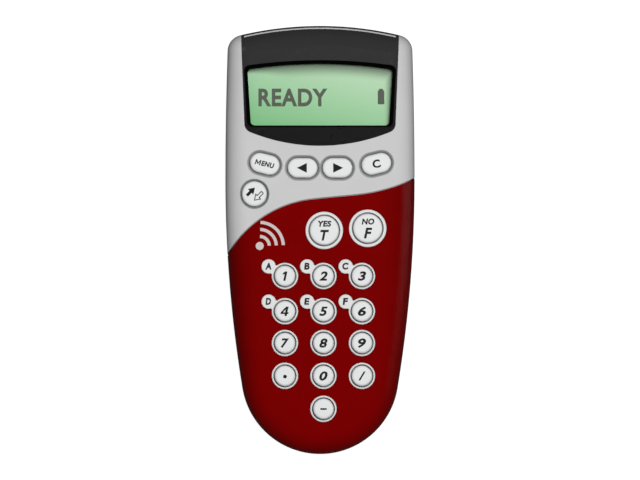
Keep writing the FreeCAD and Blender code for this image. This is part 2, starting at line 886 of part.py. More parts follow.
def make_chip_leads():
    """The flat leads on the four sides of the microcontroller."""
    leads = []
    half = size("chip_side") / 2
    count = int(size("lead_count"))
    top = size("board_z")
    low = top - size("lead_height")
    for index in range(count):
        along = (index - (count - 1) / 2) * size("lead_pitch")
        lead = slab(half, half + size("lead_reach"), along - size("lead_width") / 2,
                    along + size("lead_width") / 2, low, top)
        for quarter in range(4):
            turned = lead.copy()
            turned.rotate(V(0, 0, 0), UP, 90 * quarter)
            turned.translate(V(0, size("chip_y"), 0))
            leads.append(turned)
    return leads


chip_package = hanging_box("chip_package", "chip_side", "chip_side", "chip_height", "0", "chip_y")
doc.recompute()
feature("microcontroller", chip_package.Shape.fuse(make_chip_leads()))

radio_board = hanging_box("radio_base", "radio_width", "radio_depth", "radio_board", "radio_x", "radio_y")
node(radio_board, "radio_board")
shield = hanging_box(
    "shield_can", "shield_width", "shield_depth", "shield_height", "radio_x", "radio_y", "radio_board")
node(shield, "radio_shield")

antenna_strip = hanging_box(
    "antenna_strip", "antenna_length", "antenna_width", "antenna_sheet", "0", "antenna_y",
    "antenna_stand - antenna_sheet")
antenna_legs = [
    hanging_box(f"antenna_leg_{side}", "antenna_sheet", "antenna_width", "antenna_stand", leg_x, "antenna_y")
    for side, leg_x in (("feed", "antenna_length / 4"), ("ground", "(antenna_sheet - antenna_length) / 2"))
]
node(joined("antenna_set", antenna_strip, *antenna_legs), "antenna")

crystal = hanging_box(
    "crystal_can", "crystal_width", "crystal_length", "crystal_height", "crystal_x", "crystal_y")
node(crystal, "crystal")
capacitor = cylinder(
    "capacitor_can", "capacitor_radius", "capacitor_height", "capacitor_x", "capacitor_y",
    "board_z - capacitor_height")
node(capacitor, "capacitor")

passives = []
for row_name in ("chip_part_low_y", "chip_part_high_y"):
    for step in (-1.5, -0.5, 0.5, 1.5):
        passives.append(hanging_box(
            f"chip_part_{len(passives)}", "chip_part_length", "chip_part_width", "chip_part_height",
            f"{step} * chip_part_pitch", row_name))
node(joined("chip_part_set", *passives), "chip_resistors")

# ---------------------------------------------------------------- rear housing and battery door

RAIL_LOW = size("tongue_z") + size("tongue_thickness") + size("rail_play")
RAIL_HIGH = RAIL_LOW + size("rail_roof")
CEILING_TOP = size("bay_ceiling_z") + size("bay_ceiling")
BAY_OUT = size("bay_half") + size("bay_wall")
DOOR_HOLE = size("door_half") + size("door_gap")
FOOT_IN = size("door_half") + size("tongue_reach") + size("door_gap")
FOOT_OUT = FOOT_IN + size("rail_foot")
SPLIT = size("door_split_y")
CAP_Z = size("door_cap_z")
TERMINAL_X = size("cell_pitch")


def make_rear_shell():
    """Rear shell: a shallow tray with the battery bay, the door's rails and the screw bosses."""
    wall = size("rear_wall")
    tray = form(0.0).cut(form(wall)).common(layer(BELOW, PARTING))
    door_gap = size("door_gap")
    # the door takes a strip of the floor and the whole lower tail
    strip = slab(-DOOR_HOLE, DOOR_HOLE, SPLIT, size("door_high_y") + door_gap, BELOW, wall + MARGIN)
    tail = slab(-FAR, FAR, -FAR, SPLIT + door_gap, BELOW, CAP_Z + door_gap)
    tray = tray.cut([strip, tail])
    # locating lip inside the parting line
    lip_out = size("front_wall") + 2 * GAP
    lip = form(lip_out).cut(form(lip_out + size("lip_wall")))
    lip = lip.common(layer(PARTING - size("lip_root"), PARTING + size("lip_rise")))
    shelf = form(wall - JOIN).cut(form(lip_out + size("lip_wall")))
    shelf = shelf.common(layer(PARTING - size("shelf_foot"), PARTING - size("shelf_drop")))
    lip = lip.cut(rods(HOUSING_BOSSES, size("front_boss") + size("boss_gap"), PARTING, FAR))
    # battery bay: side walls, end walls and ceiling
    half = size("bay_half")
    low_y = size("bay_low_y")
    high_y = size("bay_high_y")
    thick = size("bay_wall")
    end_y = low_y - size("bay_end_wall")
    parts = [lip, shelf]
    for side in (-1, 1):
        x0, x1 = sorted((side * half, side * BAY_OUT))
        parts.append(slab(x0, x1, end_y, high_y + thick, RAIL_LOW, CEILING_TOP))
        x0, x1 = sorted((side * half, side * FOOT_OUT))
        parts.append(slab(x0, x1, SPLIT, size("door_high_y"), RAIL_LOW, RAIL_HIGH))
        x0, x1 = sorted((side * FOOT_IN, side * FOOT_OUT))
        parts.append(slab(x0, x1, SPLIT + door_gap, size("door_high_y"), wall - JOIN, RAIL_HIGH))
    parts.append(slab(-BAY_OUT, BAY_OUT, end_y, low_y, RAIL_LOW, CEILING_TOP))
    parts.append(slab(-BAY_OUT, BAY_OUT, high_y, high_y + thick, RAIL_LOW, CEILING_TOP))
    parts.append(slab(-BAY_OUT, BAY_OUT, end_y, high_y + thick, size("bay_ceiling_z"), CEILING_TOP))
    # deck and bulkhead that close the housing above the door's tail
    deck_low = CAP_Z + door_gap
    deck_high = deck_low + size("deck_thickness")
    parts.append(form(wall / 2).common(slab(-FAR, FAR, -FAR, low_y, deck_low, deck_high)))
    parts.append(form(wall + door_gap).common(slab(-FAR, FAR, end_y, low_y, RAIL_LOW, deck_high)))
    tail_x, tail_y = TAIL_BOSS
    parts.append(rod(tail_x, tail_y, size("rear_boss"), deck_low, PARTING))
    for boss in rods(CORNER_BOSSES, size("rear_boss"), 0.0, PARTING):
        parts.append(boss.common(form(0.0)))
    solid = tray.fuse(parts)
    cuts = rods(HOUSING_BOSSES, size("screw_hole"), BELOW, PARTING + MARGIN)
    cuts += rods(CORNER_BOSSES, size("recess_radius"), BELOW, size("screw_seat_z"))
    # slots for the two battery terminals
    slot_half = size("terminal_half") + size("slot_play")
    for side in (-1, 1):
        centre = side * TERMINAL_X
        cuts.append(slab(centre - slot_half, centre + slot_half, high_y - size("slot_width"), high_y,
                         size("bay_ceiling_z") - MARGIN, CEILING_TOP + MARGIN))
    return solid.cut(cuts)


def make_battery_door():
    """Sliding door: a floor strip with side tongues, and a cap that forms the lower tail."""
    wall = size("rear_wall")
    half = size("door_half")
    shell = form(0.0).cut(form(wall))
    strip = form(0.0).common(slab(-half, half, SPLIT - wall, size("door_high_y"), BELOW, wall))
    cap = shell.common(slab(-FAR, FAR, -FAR, SPLIT, BELOW, CAP_Z))
    parts = [cap]
    rib_top = size("tongue_z") + size("tongue_thickness")
    rib_y = SPLIT + size("rib_start")
    for side in (-1, 1):
        x0, x1 = sorted((side * (half - size("door_rib")), side * half))
        parts.append(slab(x0, x1, rib_y, size("door_high_y"), wall - JOIN, rib_top))
        x0, x1 = sorted((side * (half - JOIN), side * (half + size("tongue_reach"))))
        parts.append(slab(x0, x1, rib_y, size("door_high_y"), size("tongue_z"), rib_top))
    # hook that slides in over the floor at the display end
    hook = size("hook_half")
    end = size("door_high_y")
    parts.append(slab(-hook, hook, end - size("hook_root"), end, wall - JOIN, rib_top))
    parts.append(slab(-hook, hook, end - JOIN, end + size("hook_reach"), size("tongue_z"), rib_top))
    solid = strip.fuse(parts)
    grips = []
    for index in range(int(size("grip_count"))):
        y = size("grip_first_y") - index * size("grip_pitch")
        grips.append(slab(-size("grip_half"), size("grip_half"), y - size("grip_width") / 2,
                          y + size("grip_width") / 2, BELOW, size("grip_depth")))
    return solid.cut(grips)


feature("rear_shell", make_rear_shell())
feature("battery_door", make_battery_door())

# ---------------------------------------------------------------- cells and contacts

PLATE_LOW_Y = size("bay_low_y") + size("plate_thickness")
PLATE_HIGH_Y = size("bay_high_y") - size("plate_thickness")


def facing(x, y, forward):
    """A placement on the cells' level whose local Z axis runs along +Y or -Y."""
    turn = FreeCAD.Rotation(V(1, 0, 0), -90 if forward else 90)
    return FreeCAD.Placement(V(x, y, size("cell_z")), turn)


cell_can = cylinder("cell_can", "cell_radius", "cell_length - cell_nub_length")
cell_nub = cylinder("cell_nub", "cell_nub_radius", "cell_length")
cell = joined("cell", cell_can, cell_nub)
# a bowed leaf spring: the part of a tube's wall that stands above its contact plate
BOW_RADIUS = "(spring_chord ^ 2 / 4 + spring_rise ^ 2) / (2 * spring_rise)"
bow_outside = cylinder("bow_outside", BOW_RADIUS, "spring_breadth",
                       y="spring_breadth / 2", z=f"spring_rise - {BOW_RADIUS}")
bow_inside = cylinder("bow_inside", f"{BOW_RADIUS} - spring_sheet", "spring_breadth",
                      y="spring_breadth / 2", z=f"spring_rise - {BOW_RADIUS}")
for tube in (bow_outside, bow_inside):
    tube.Placement.Rotation = FreeCAD.Rotation(V(1, 0, 0), 90)
bow_wall = doc.addObject("Part::Cut", "bow_wall")
bow_wall.Base = bow_outside
bow_wall.Tool = bow_inside
above_plate = box("above_plate", "spring_chord", "spring_breadth", "spring_rise",
                  "-spring_chord / 2", "-spring_breadth / 2", "0")
spring = doc.addObject("Part::Common", "spring")
spring.Base = bow_wall
spring.Tool = above_plate
bump = doc.addObject("Part::Cone", "bump")
bind(bump, Radius1="bump_radius", Radius2="bump_radius * bump_taper", Height="bump_height")
doc.recompute()

springs = []
plates = []
for index, forward in enumerate((True, False, True), start=1):
    cell_x = (index - 2) * size("cell_pitch")
    spring_end_y = PLATE_LOW_Y if forward else PLATE_HIGH_Y
    bump_end_y = PLATE_HIGH_Y if forward else PLATE_LOW_Y
    sign = 1 if forward else -1
    nub_y = bump_end_y - sign * size("bump_height")
    cell_copy = cell.Shape.copy()
    cell_copy.Placement = facing(cell_x, nub_y - sign * size("cell_length"), forward)
    feature(f"battery_cell_{index}", Part.makeCompound([cell_copy]))
    leaf = spring.Shape.copy()
    leaf.Placement = facing(cell_x, spring_end_y, forward)
    springs.append(leaf)
    contact = bump.Shape.copy()
    contact.Placement = facing(cell_x, bump_end_y, not forward)
    low_z = size("cell_z") - size("plate_height") / 2
    high_z = size("cell_z") + size("plate_height") / 2
    near_plate = slab(cell_x - size("plate_half"), cell_x + size("plate_half"),
                      size("bay_low_y"), PLATE_LOW_Y, low_z, high_z)
    far_plate = slab(cell_x - size("plate_half"), cell_x + size("plate_half"),
                     PLATE_HIGH_Y, size("bay_high_y"), low_z, high_z)
    if index != 2:
        tab = slab(cell_x - size("terminal_half"), cell_x + size("terminal_half"),
                   PLATE_HIGH_Y, size("bay_high_y"), high_z - MARGIN, size("board_z"))
        far_plate = far_plate.fuse(tab)
    if forward:
        far_plate = far_plate.fuse(contact)
    else:
        near_plate = near_plate.fuse(contact)
    plates += [near_plate, far_plate]
feature("battery_springs", Part.makeCompound(springs))
feature("battery_contacts", Part.makeCompound(plates))

# ---------------------------------------------------------------- screws


def screw_shape(name, shank, length, head, head_height):
    """A pan-head screw pointing up, its head under the origin and cross-recessed from below."""
    sunk = f"({head_height}) / 2"
    shaft = cylinder(f"{name}_shank", shank, f"({length}) + {sunk}", z=f"0 - {sunk}")
    cap = cylinder(f"{name}_head", head, head_height, z=f"0 - ({head_height})")
    blank = joined(f"{name}_blank", shaft, cap)
    span = f"{head} * cross_span"
    slot = f"{head} * cross_slot"
    blades = [
        box(f"{name}_blade_{axis}", dx, dy, f"({head_height}) * cross_depth",
            f"0 - ({dx}) / 2", f"0 - ({dy}) / 2", f"0 - ({head_height})")
        for axis, dx, dy in (("x", span, slot), ("y", slot, span))
    ]
    cross = joined(f"{name}_cross", *blades)
    screw = doc.addObject("Part::Cut", name)
    screw.Base = blank
    screw.Tool = cross
    doc.recompute()
    return screw.Shape


def screw_group(name, shape, seats):
    """Identical screws, one at each seat point."""
    screws = []
    for seat in seats:
        screw = shape.copy()
        screw.Placement = FreeCAD.Placement(seat, FreeCAD.Rotation())
        screws.append(screw)
    feature(name, Part.makeCompound(screws))


long_screw = screw_shape(
    "long_screw", "screw_shank", "screw_tip_z - screw_seat_z", "screw_head", "screw_head_height")
screw_group("corner_screws", long_screw, [V(x, y, size("screw_seat_z")) for x, y in CORNER_BOSSES])
tail_screw = screw_shape(
    "tail_screw_blank", "screw_shank", "screw_tip_z - door_cap_z - door_gap", "screw_head",
    "screw_head_height")
screw_group("tail_screw", tail_screw, [V(0, size("tail_boss_y"), CAP_Z + size("door_gap"))])
short_screw = screw_shape(
    "short_screw", "board_screw_shank", "board_screw_length", "board_screw_head", "board_screw_head_height")
screw_group("board_screws", short_screw, [V(x, y, size("board_z")) for x, y in BOARD_BOSSES])

# ---------------------------------------------------------------- checks and export

doc.recompute()
for item in doc.Objects:
    if "Invalid" in item.State or "Error" in item.State:
        raise SystemExit(f"{item.Label} failed: {item.State}")
for item in nodes:
    if item.Shape.isNull() or not item.Shape.isValid() or not item.Shape.Solids:
        raise SystemExit(f"{item.Label} has no valid shape")
for item in nodes:
    item.Shape.exportStep(f"parts/{item.Label}.step")
    print(f"{item.Label}: {len(item.Shape.Solids)} solid(s), {item.Shape.Volume:.1f} mm3")
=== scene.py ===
import json
import math

import bmesh
import bpy
from mathutils import Matrix, Vector


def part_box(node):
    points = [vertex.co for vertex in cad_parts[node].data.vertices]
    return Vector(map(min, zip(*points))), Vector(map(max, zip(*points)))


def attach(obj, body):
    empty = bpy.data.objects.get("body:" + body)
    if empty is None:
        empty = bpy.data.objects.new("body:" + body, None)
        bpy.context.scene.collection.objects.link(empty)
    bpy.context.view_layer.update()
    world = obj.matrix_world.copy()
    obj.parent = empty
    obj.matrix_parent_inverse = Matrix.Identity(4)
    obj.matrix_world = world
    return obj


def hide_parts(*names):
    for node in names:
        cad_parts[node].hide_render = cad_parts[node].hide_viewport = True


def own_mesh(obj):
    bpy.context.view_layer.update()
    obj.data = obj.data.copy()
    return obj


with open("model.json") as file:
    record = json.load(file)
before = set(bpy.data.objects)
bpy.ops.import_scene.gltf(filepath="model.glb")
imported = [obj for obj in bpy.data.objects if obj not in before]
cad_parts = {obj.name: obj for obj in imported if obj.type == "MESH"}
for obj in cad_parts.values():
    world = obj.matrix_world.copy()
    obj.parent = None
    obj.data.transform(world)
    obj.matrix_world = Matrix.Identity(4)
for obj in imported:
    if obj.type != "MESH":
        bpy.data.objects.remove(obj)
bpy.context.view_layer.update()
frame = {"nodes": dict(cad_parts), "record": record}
NODES = frame["nodes"]
MM = 0.001
TAU = 2 * math.pi

# ------------------------------------------------------------------ places taken from the frame


def low(node):
    """Lowest corner of a node's box."""
    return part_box(node)[0]


def high(node):
    """Highest corner of a node's box."""
    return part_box(node)[1]


def middle(node):
    """Centre of a node in plan, at the height of its top."""
    lowest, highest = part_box(node)
    return Vector(((lowest.x + highest.x) / 2, (lowest.y + highest.y) / 2, highest.z))


DIGITS = "0123456789"
KEYS = [name for name in NODES if name.startswith("key_") and name != "key_contacts"]
HALF_WIDTH = high("front_shell").x
FACE_Z = high("lower_fascia").z
COLLAR_Z = FACE_Z + 0.5 * MM
BEZEL_STEP_Z = FACE_Z - 0.5 * MM
CREASE = math.radians(28)

# ------------------------------------------------------------------ node helpers


def new_material(name):
    """A material with its node tree and its Principled shader."""
    material = bpy.data.materials.new(name)
    material.use_nodes = True
    shader = material.node_tree.nodes["Principled BSDF"]
    return material, material.node_tree, shader


def add(tree, kind, **settings):
    """A shader node with its properties set."""
    node = tree.nodes.new(kind)
    for name, value in settings.items():
        setattr(node, name, value)
    return node


def feed(tree, socket, value):
    """Set a socket to a number or a colour, or link it to another node's output."""
    if isinstance(value, tuple):
        socket.default_value = (*value, 1.0)
    elif isinstance(value, (int, float)):
        socket.default_value = value
    else:
        tree.links.new(value, socket)


def object_coordinates(tree):
    """The surface point in the object's own metres."""
    return add(tree, "ShaderNodeTexCoord").outputs["Object"]


def position_axis(tree, axis):
    """One coordinate of the surface point, in metres."""
    split = add(tree, "ShaderNodeSeparateXYZ")
    tree.links.new(object_coordinates(tree), split.inputs["Vector"])
    return split.outputs[axis]


def noise(tree, scale, detail=2.0, roughness=0.5, stretch=None):
    """A noise pattern in the object's own metres; scale is in cells per metre."""
    pattern = add(tree, "ShaderNodeTexNoise")
    pattern.inputs["Scale"].default_value = scale
    pattern.inputs["Detail"].default_value = detail
    pattern.inputs["Roughness"].default_value = roughness
    source = object_coordinates(tree)
    if stretch:
        mapping = add(tree, "ShaderNodeMapping")
        mapping.inputs["Scale"].default_value = stretch
        tree.links.new(source, mapping.inputs["Vector"])
        source = mapping.outputs["Vector"]
    tree.links.new(source, pattern.inputs["Vector"])
    return pattern.outputs["Fac"]


def remap(tree, value, from_low, from_high, to_low, to_high, smooth=False):
    """A value mapped from one range to another, clamped."""
    step = add(tree, "ShaderNodeMapRange")
    if smooth:
        step.interpolation_type = "SMOOTHSTEP"
    step.inputs["From Min"].default_value = from_low
    step.inputs["From Max"].default_value = from_high
    step.inputs["To Min"].default_value = to_low
    step.inputs["To Max"].default_value = to_high
    tree.links.new(value, step.inputs["Value"])
    return step.outputs["Result"]


def uneven(tree, pattern, lowest, highest):
    """A noise pattern, most of which lies between 0.3 and 0.7, spread between two values."""
    return remap(tree, pattern, 0.3, 0.7, lowest, highest)


def math_node(tree, operation, first, second):
    """One arithmetic step on two numbers or outputs."""
    step = add(tree, "ShaderNodeMath", operation=operation)
    feed(tree, step.inputs[0], first)
    feed(tree, step.inputs[1], second)
    return step.outputs[0]


def product(tree, first, *others):
    """Several factors multiplied together."""
    for other in others:
        first = math_node(tree, "MULTIPLY", first, other)
    return first


def ramp(tree, value, *stops, interpolation="LINEAR"):
    """A colour ramp; each stop is (position, (r, g, b))."""
    node = add(tree, "ShaderNodeValToRGB")
    node.color_ramp.interpolation = interpolation
    elements = node.color_ramp.elements
    while len(elements) < len(stops):
        elements.new(0.5)
    for element, (position, colour) in zip(elements, stops):
        element.position = position
        element.color = (*colour, 1.0)
    tree.links.new(value, node.inputs["Fac"])
    return node.outputs["Color"]


def scaled_colour(tree, colour, factor):
    """A colour multiplied by a grey value."""
    mix = add(tree, "ShaderNodeMix", data_type="RGBA", blend_type="MULTIPLY")
    mix.inputs["Factor"].default_value = 1.0
    feed(tree, mix.inputs["A"], colour)
    feed(tree, mix.inputs["B"], factor)
    return mix.outputs["Result"]


def mixed_colour(tree, factor, first, second):
    """The first colour where factor is 0, the second where it is 1."""
    mix = add(tree, "ShaderNodeMix", data_type="RGBA")
    feed(tree, mix.inputs["Factor"], factor)
    feed(tree, mix.inputs["A"], first)
    feed(tree, mix.inputs["B"], second)
    return mix.outputs["Result"]


def send_mixed_shader(tree, factor, first, second, output):
    """Send the first shader to the output where factor is 0, the second where it is 1."""
    mix = add(tree, "ShaderNodeMixShader")
    tree.links.new(factor, mix.inputs["Fac"])
    tree.links.new(first.outputs[0], mix.inputs[1])
    tree.links.new(second.outputs[0], mix.inputs[2])
    tree.links.new(mix.outputs["Shader"], tree.nodes[output].inputs["Surface"])


def bump(tree, shader, pattern, height):
    """Connect a pattern to the shader's normal; height is in metres."""
    step = add(tree, "ShaderNodeBump")
    step.inputs["Distance"].default_value = height
    tree.links.new(pattern, step.inputs["Height"])
    tree.links.new(step.outputs["Normal"], shader.inputs["Normal"])


def painted_gap_shade(tree, depth, darkest):
    """Painted shade: a factor that falls from 1 towards darkest inside narrow gaps and wells."""
    occlusion = add(tree, "ShaderNodeAmbientOcclusion", samples=12)
    occlusion.inputs["Distance"].default_value = depth
    return remap(tree, occlusion.outputs["AO"], 0.35, 0.95, darkest, 1.0)


def finish_plastic(tree, shader, colour, tone, polish, specular, grain=0.0, grain_scale=5000):
    """Connect a toned colour, an uneven polish and a fine grain to the shader.

    polish is (noise scale, noise detail, least roughness, greatest roughness); grain is a height.
    """
    tree.links.new(scaled_colour(tree, colour, tone), shader.inputs["Base Color"])
    scale, detail, least, greatest = polish
    tree.links.new(uneven(tree, noise(tree, scale, detail), least, greatest), shader.inputs["Roughness"])
    shader.inputs["Specular IOR Level"].default_value = specular
    if grain:
        bump(tree, shader, noise(tree, grain_scale, detail=3, roughness=0.6), grain)


# ------------------------------------------------------------------ materials


def plastic(name, colour, roughness, mottle=0.03, specular=0.5, shade_in_gaps=None, **grain):
    """Moulded plastic: slight colour mottling, uneven polish, a fine grain and, when shade_in_gaps is given,
    painted shade in narrow gaps and wells.
    """
    material, tree, shader = new_material(name)
    tone = uneven(tree, noise(tree, scale=90, detail=3), 1 - mottle, 1.0)
    if shade_in_gaps:
        # painted shade: the colour darkens inside gaps and wells
        tone = product(tree, tone, painted_gap_shade(tree, *shade_in_gaps))
    polish = (260, 4, roughness * 0.88, roughness * 1.12)
    finish_plastic(tree, shader, colour, tone, polish, specular, **grain)
    return material


def silver_material():
    """Satin silver-grey plastic; the collars and tabs that stand above the skin get a painted highlight, and
    its gaps and wells get painted shade.
    """
    grey = (0.60, 0.60, 0.60)
    material, tree, shader = new_material("silver_plastic")
    height = position_axis(tree, "Z")
    # painted highlight: the raised collars and tabs are lightened as if they caught more light
    painted_lift = remap(tree, height, FACE_Z + 0.1 * MM, FACE_Z + 0.2 * MM, 1.0, 1.27)
    mottled = uneven(tree, noise(tree, scale=90, detail=3), 0.975, 1.0)
    # painted shade in the gaps and wells around the keys
    tone = product(tree, painted_lift, mottled, painted_gap_shade(tree, 1.2 * MM, darkest=0.55))
    finish_plastic(
        tree, shader, grey, tone, polish=(260, 4, 0.37, 0.47), specular=0.4, grain=0.02 * MM)
    return material


def red_material():
    """Dark red skin, with painted shade that darkens it towards the housing's sides and in its gaps and
    wells.
    """
    red = (0.182, 0.0, 0.0002)
    material, tree, shader = new_material("red_skin")
    side = math_node(tree, "ABSOLUTE", position_axis(tree, "X"), 0.0)
    # painted shade: the colour darkens towards the sides, where the shoulders roll away from the light
    depth = remap(tree, side, 0.55 * HALF_WIDTH, HALF_WIDTH, 1.0, 0.72, smooth=True)
    mottled = uneven(tree, noise(tree, scale=120, detail=4), 0.95, 1.03)
    tone = product(tree, depth, mottled, painted_gap_shade(tree, 1.5 * MM, darkest=0.4))
    finish_plastic(
        tree, shader, red, tone, polish=(300, 4, 0.30, 0.40), specular=0.1,
        grain=0.015 * MM, grain_scale=4200)
    return material


def bezel_material():
    """Black moulding: charcoal above the window, with painted light that makes it darker below the window
    and a painted shadow that makes the window's step dead black.
    """
    charcoal = (0.031, 0.031, 0.031)
    material, tree, shader = new_material("bezel_black")
    along = position_axis(tree, "Y")
    chin = low("lcd_glass").y
    crown = high("display_window").y
    # painted light: the moulding darkens towards the bottom of the window
    painted_light_falloff = remap(tree, along, chin, crown, 0.34, 1.0, smooth=True)
    # painted shadow: the window's step is made dead black
    above_step = remap(tree, position_axis(tree, "Z"), BEZEL_STEP_Z - 0.06 * MM, BEZEL_STEP_Z, 0.0, 1.0)
    beyond_window = remap(tree, along, crown + 2 * MM, crown + 2.5 * MM, 0.0, 1.0)
    lit = math_node(tree, "MAXIMUM", above_step, beyond_window)
    finish_plastic(
        tree, shader, charcoal, product(tree, painted_light_falloff, lit), polish=(240, 3, 0.26, 0.34), specular=0.25)
    return material


def lens_material():
    """Thin clear lens: it lets light through and takes a faint reflection."""
    straight_on = 0.015
    glancing = 0.5
    material, tree, shader = new_material("clear_lens")
    tree.nodes.remove(shader)
    clear = add(tree, "ShaderNodeBsdfTransparent")
    shine = add(tree, "ShaderNodeBsdfGlossy")
    shine.inputs["Roughness"].default_value = 0.04
    # the same gain on both faces, so that the lens never turns into a full mirror
    facing = add(tree, "ShaderNodeLayerWeight").outputs["Facing"]
    gain = product(tree, math_node(tree, "POWER", facing, 4.0), glancing)
    send_mixed_shader(tree, math_node(tree, "ADD", gain, straight_on), clear, shine, "Material Output")
    return material


def display_shadow(tree, rise, across):
    """The frame's soft shadow: it hangs from the window's bowed top edge and runs down the right side."""
    lens_lip = 0.75 * MM
    edge_gap = 0.15 * MM
    sag = 1.9 * MM
    left_reach = 1.6 * MM
    right_reach = 4.6 * MM
    side_width = 2.9 * MM
    crown = high("display_window").y - lens_lip
    corner = high("display_window").x - lens_lip
    sunk = product(tree, across, across, sag / corner ** 2)
    below_edge = math_node(tree, "SUBTRACT", crown - edge_gap, math_node(tree, "ADD", rise, sunk))
    reach = remap(tree, across, -corner, -0.37 * corner, left_reach, right_reach, smooth=True)
    depth = math_node(tree, "DIVIDE", below_edge, reach)
    from_top = remap(tree, depth, -0.1, 1.0, 0.85, 0.0, smooth=True)
    from_right = remap(tree, across, corner, corner - side_width, 0.75, 0.0, smooth=True)
    return math_node(tree, "MAXIMUM", from_top, from_right)


def lcd_material():
    """Reflective display: painted glare makes it paler upwards and to the right, and the frame's soft shadow
    is painted on it.
    """
    deep_green = (0.215, 0.52, 0.235)
    mid_green = (0.36, 0.63, 0.37)
    pale_green = (0.56, 0.76, 0.54)
    shaded_green = (0.095, 0.125, 0.09)
    material, tree, shader = new_material("lcd_green")
    lowest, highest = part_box("lcd_glass")
    rise = position_axis(tree, "Y")
    across = position_axis(tree, "X")
    # painted glare: the green grows paler upwards and to the right
    upwards = remap(tree, rise, lowest.y, highest.y, 0.0, 0.66)
    rightwards = remap(tree, across, lowest.x, highest.x, 0.0, 0.36)
    painted_glare = math_node(tree, "ADD", upwards, rightwards)
    colour = ramp(tree, painted_glare, (0.05, deep_green), (0.45, mid_green), (0.95, pale_green))
    # painted shadow of the window frame
    colour = mixed_colour(tree, display_shadow(tree, rise, across), colour, shaded_green)
    fine = uneven(tree, noise(tree, scale=1800), 0.98, 1.02)
    tree.links.new(scaled_colour(tree, colour, fine), shader.inputs["Base Color"])
    shader.inputs["Roughness"].default_value = 0.5
    shader.inputs["Specular IOR Level"].default_value = 0.2
    return material


def metal(name, colour, roughness, stretch=(1.0, 12.0, 1.0)):
    """Plated sheet metal with fine drawn lines."""
    material, tree, shader = new_material(name)
    lines = noise(tree, scale=900, detail=3, roughness=0.6, stretch=stretch)
    tree.links.new(scaled_colour(tree, colour, uneven(tree, lines, 0.9, 1.0)), shader.inputs["Base Color"])
    tree.links.new(uneven(tree, lines, roughness * 0.8, roughness * 1.3), shader.inputs["Roughness"])
    shader.inputs["Metallic"].default_value = 1.0
    bump(tree, shader, lines, 0.01 * MM)
    return material


def board_material():
    """Solder resist with faint tracks under it."""
    material, tree, shader = new_material("board_green")
    tracks = add(tree, "ShaderNodeTexBrick", offset=0.5)
    tracks.inputs["Scale"].default_value = 260
    tracks.inputs["Mortar Size"].default_value = 0.06
    feed(tree, tracks.inputs["Color1"], (0.012, 0.12, 0.045))
    feed(tree, tracks.inputs["Color2"], (0.014, 0.14, 0.05))
    feed(tree, tracks.inputs["Mortar"], (0.03, 0.22, 0.08))
    tree.links.new(object_coordinates(tree), tracks.inputs["Vector"])
    tree.links.new(tracks.outputs["Color"], shader.inputs["Base Color"])
    shader.inputs["Roughness"].default_value = 0.35
    return material


def cell_material():
    """A plain dry cell: dark sleeve, copper-coloured band and bare metal ends."""
    bare_metal = (0.5, 0.5, 0.5)
    sleeve = (0.012, 0.012, 0.014)
    copper = (0.42, 0.16, 0.05)
    material, tree, shader = new_material("cell_sleeve")
    lowest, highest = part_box("battery_cell_1")
    along = remap(tree, position_axis(tree, "Y"), lowest.y, highest.y, 0.0, 1.0)
    colour = ramp(
        tree, along, (0.0, bare_metal), (0.035, sleeve), (0.70, copper), (0.945, bare_metal),
        interpolation="CONSTANT")
    worn = uneven(tree, noise(tree, scale=400, detail=3), 0.9, 1.0)
    tree.links.new(scaled_colour(tree, colour, worn), shader.inputs["Base Color"])
    shader.inputs["Roughness"].default_value = 0.3
    shader.inputs["Metallic"].default_value = 0.4
    return material


MATERIALS = {
    "silver_plastic": silver_material(),
    "red_plastic": red_material(),
    "black_gloss": bezel_material(),
    "bright_trim": plastic("bright_trim", (0.85, 0.85, 0.85), 0.3, mottle=0.02),
    "clear_lens": lens_material(),
    "lcd_green": lcd_material(),
    "black_plastic": plastic("black_plastic", (0.02, 0.02, 0.02), 0.5, grain=0.02 * MM),
    "conductive_rubber": plastic("zebra_rubber", (0.09, 0.09, 0.09), 0.7, grain=0.03 * MM),
    "silicone": plastic("silicone", (0.62, 0.62, 0.60), 0.55, specular=0.35, grain=0.01 * MM),
    "board_green": board_material(),
    "gold_plate": metal("gold_plate", (0.85, 0.62, 0.28), 0.25),
    "tinned_steel": metal("tinned_steel", (0.72, 0.72, 0.70), 0.3),
    "charcoal_plastic": plastic(
        "charcoal_plastic", (0.045, 0.046, 0.05), 0.55, grain=0.06 * MM, grain_scale=2600),
    "cell_jacket": cell_material(),
    "screw_steel": metal("screw_steel", (0.50, 0.50, 0.50), 0.32, stretch=(1.0, 1.0, 1.0)),
    # the keys get painted shade in the narrow gaps around their caps
    "key_plastic": plastic(
        "key_plastic", (0.80, 0.81, 0.81), 0.30, mottle=0.02, shade_in_gaps=(0.7 * MM, 0.45), grain=0.008 * MM),
}
INK = plastic("legend_ink", (0.017, 0.017, 0.018), 0.5, mottle=0.06)
TAB_INK = plastic("tab_ink", (0.024, 0.026, 0.028), 0.5, mottle=0.06)
LCD_INK = plastic("lcd_segments", (0.115, 0.130, 0.103), 0.5, mottle=0.05)
EMBLEM_INK = plastic("emblem_ink", (0.62, 0.56, 0.54), 0.35, mottle=0.04)


def shade_smooth(mesh):
    """Smooth shading that keeps edges sharper than the crease angle."""
    mesh.polygons.foreach_set("use_smooth", [True] * len(mesh.polygons))
    mesh.set_sharp_from_angle(angle=CREASE)


def dress_cad_nodes():
    """Give each CAD node the material that its slot in the record names."""
    for part in frame["record"]["subparts"]:
        mesh = NODES[part["node"]].data
        mesh.materials.clear()
        mesh.materials.append(MATERIALS[part["material_slot"]])
        shade_smooth(mesh)


dress_cad_nodes()

# ------------------------------------------------------------------ printed pieces

PRINT = 0.03 * MM
SLANT = 0.22
BOLD = 0.034
BOLDER = 0.042


def mesh_piece(name, mesh, material, body):
    """A finished mesh as a piece of the object."""
    mesh.materials.clear()
    mesh.materials.append(material)
    piece = bpy.data.objects.new(name, mesh)
    bpy.context.scene.collection.objects.link(piece)
    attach(piece, body)
    return piece


